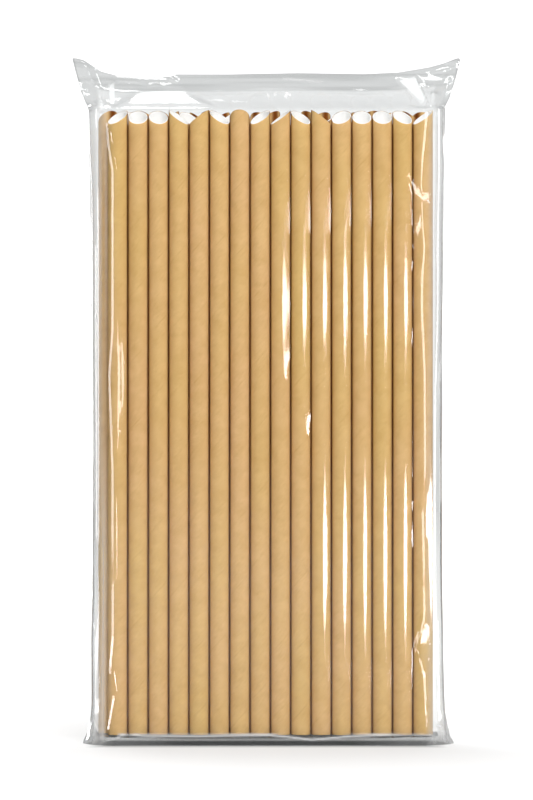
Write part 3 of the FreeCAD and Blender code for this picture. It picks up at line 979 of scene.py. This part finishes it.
def studio_world():
    """Even white light, white to the camera. What the film mirrors is the room: dark on the side
    that the camera is on, and light behind the pack."""
    world = bpy.data.worlds.new("studio")
    world.use_nodes = True
    tree = world.node_tree
    background = tree.nodes["Background"]
    background.inputs["Color"].default_value = (1, 1, 1, 1)
    way = add_node(tree, "TexCoord").outputs["Generated"]
    split = add_node(tree, "SeparateXYZ", {"Vector": way})
    mirrored = add_node(
        tree, "MapRange",
        {"Value": split.outputs["Y"], "From Min": -0.75, "From Max": -0.2, "To Min": 0.02, "To Max": 0.8},
    )
    rays = add_node(tree, "LightPath").outputs
    strength = add_node(tree, "Mix", {"Factor": rays["Is Glossy Ray"], "A": 0.36, "B": mirrored})
    seen = add_node(tree, "Math", {0: strength, 1: rays["Is Camera Ray"]}, operation="MAXIMUM")
    tree.links.new(seen.outputs[0], background.inputs["Strength"])
    return world


def add_plane(name, corners, material):
    mesh = bpy.data.meshes.new(name)
    mesh.from_pydata(corners, [], [(0, 1, 2, 3)])
    mesh.materials.append(material)
    plane = bpy.data.objects.new(name, mesh)
    bpy.context.scene.collection.objects.link(plane)


def add_lamp(name, place, target, size, power, shape="RECTANGLE"):
    light = bpy.data.lights.new(name, "AREA")
    light.shape = shape
    light.size, light.size_y = size
    light.energy = power
    lamp = bpy.data.objects.new(name, light)
    lamp.location = place
    lamp.rotation_euler = (Vector(target) - Vector(place)).to_track_quat("-Z", "Y").to_euler()
    lamp.visible_camera = False
    bpy.context.scene.collection.objects.link(lamp)
    return lamp


# Soft boxes that light the paper and the floor: place, size and power
SOFT_BOXES = {
    "key": ((0.4, -1.45, 1.2), (1.0, 0.9), 33.5),
    "overhead": ((-0.05, 0.35, 1.1), (0.8, 0.5), 8),
    "behind": ((-0.5, 1.5, 1.0), (1.0, 0.9), 16),
}

# Small lamps that only the film mirrors: place, target, size, power, and shape if not a rectangle
GLINTS = {
    "upper window": ((0.385, -0.775, 0.1625), (0.03, 0, 0.1425), (0.36, 0.042), 0.75, "ELLIPSE"),
    "lower window": ((0.2, -0.40, 0.043), (0.03, 0, 0.055), (0.18, 0.068), 0.55, "ELLIPSE"),
    "right strip": ((0.92, -0.38, 0.375), (0.05, 0, 0.15), (0.26, 0.74), 4.6),
    "left strip": ((-0.92, -0.38, 0.375), (-0.05, 0, 0.15), (0.26, 0.74), 4.4),
    "right foot strip": ((0.165, -0.055, 0.023), (0.05, -0.009, 0.02), (0.035, 0.044), 0.037),
    "left foot strip": ((-0.165, -0.055, 0.023), (-0.05, -0.009, 0.02), (0.035, 0.044), 0.037),
    "crumple glint": ((0.414, -0.776, 0.38), (0.048, 0, 0.17), (0.18, 0.26), 1.6),
    "top strip": ((0, -1.0, 0.50), (0, 0, 0.10), (0.6, 0.16), 2.4),
    "roof glint": ((-0.047, 0.2325, 0.67), (-0.033, 0, 0.204), (0.036, 0.09), 0.10),
    "back left strip": ((-0.6, 0.8, 0.2), (0, 0, 0.12), (0.2, 0.4), 1.6),
    "back right strip": ((0.35, 0.9, 0.2), (0, 0, 0.12), (0.12, 0.3), 0.7),
}


class STRAWPACK_OT_stage(bpy.types.Operator):
    """Set up the floor, backdrop, lamps and camera"""

    bl_idname = "strawpack.stage"
    bl_label = "Stage"

    def execute(self, context):
        scene = context.scene
        scene.view_settings.view_transform = "Standard"
        wide = 6.0
        back = 2.5
        floor = stage_material("white floor", lit=0.36, glow=floor_glow, mirrored=0.2)
        ground = [(-wide, -wide, 0), (wide, -wide, 0), (wide, wide, 0), (-wide, wide, 0)]
        add_plane("floor", ground, floor)
        wall = stage_material("white backdrop", lit=0.36, glow=1.0, mirrored=0.5)
        upright = [(-wide, back, 0), (wide, back, 0), (wide, back, wide), (-wide, back, wide)]
        add_plane("backdrop", upright, wall)

        scene.world = studio_world()

        middle = (0, 0, 0.11)
        for name, (place, size, power) in SOFT_BOXES.items():
            add_lamp(name, place, middle, size, power).visible_glossy = False
        for name, glint in GLINTS.items():
            add_lamp(name, *glint).visible_diffuse = False

        lens = bpy.data.cameras.new("camera")
        lens.sensor_width = SENSOR
        lens.lens = SENSOR * CAMERA_AWAY / FRAME_HEIGHT
        camera = bpy.data.objects.new("camera", lens)
        camera.location = (0, BAG_LOW.y - CAMERA_AWAY, EYE_HEIGHT)
        camera.rotation_euler = (math.pi / 2, 0, 0)
        scene.collection.objects.link(camera)
        scene.camera = camera
        return {"FINISHED"}


class STRAWPACK_PT_panel(bpy.types.Panel):
    """Lists the pack's sizes, colours and builders"""

    bl_idname = "STRAWPACK_PT_panel"
    bl_label = "Straw Pack"
    bl_space_type = "VIEW_3D"
    bl_region_type = "UI"
    bl_category = "Straw Pack"

    def draw(self, context):
        for group in settings():
            box = self.layout.box()
            for name in group.bl_rna.properties.keys():
                if name not in ("rna_type", "name"):
                    box.prop(group, name)
        for row in ROWS:
            self.layout.operator("strawpack.straws", text=row.title() + " row").row = row
        self.layout.operator("strawpack.film_bag")
        self.layout.operator("strawpack.stage")


CLASSES = (
    StrawSettings, FilmSettings, STRAWPACK_OT_straws, STRAWPACK_OT_film_bag, STRAWPACK_OT_stage,
    STRAWPACK_PT_panel,
)


def register():
    for cls in CLASSES:
        bpy.utils.register_class(cls)
    bpy.types.Scene.straw_pack_straw = bpy.props.PointerProperty(type=StrawSettings)
    bpy.types.Scene.straw_pack_film = bpy.props.PointerProperty(type=FilmSettings)


def unregister():
    del bpy.types.Scene.straw_pack_film
    del bpy.types.Scene.straw_pack_straw
    for cls in reversed(CLASSES):
        bpy.utils.unregister_class(cls)


def main():
    register()
    for row in ROWS:
        bpy.ops.strawpack.straws(row=row)
    bpy.ops.strawpack.film_bag()
    bpy.ops.strawpack.stage()


if __name__ == "__main__":
    main()
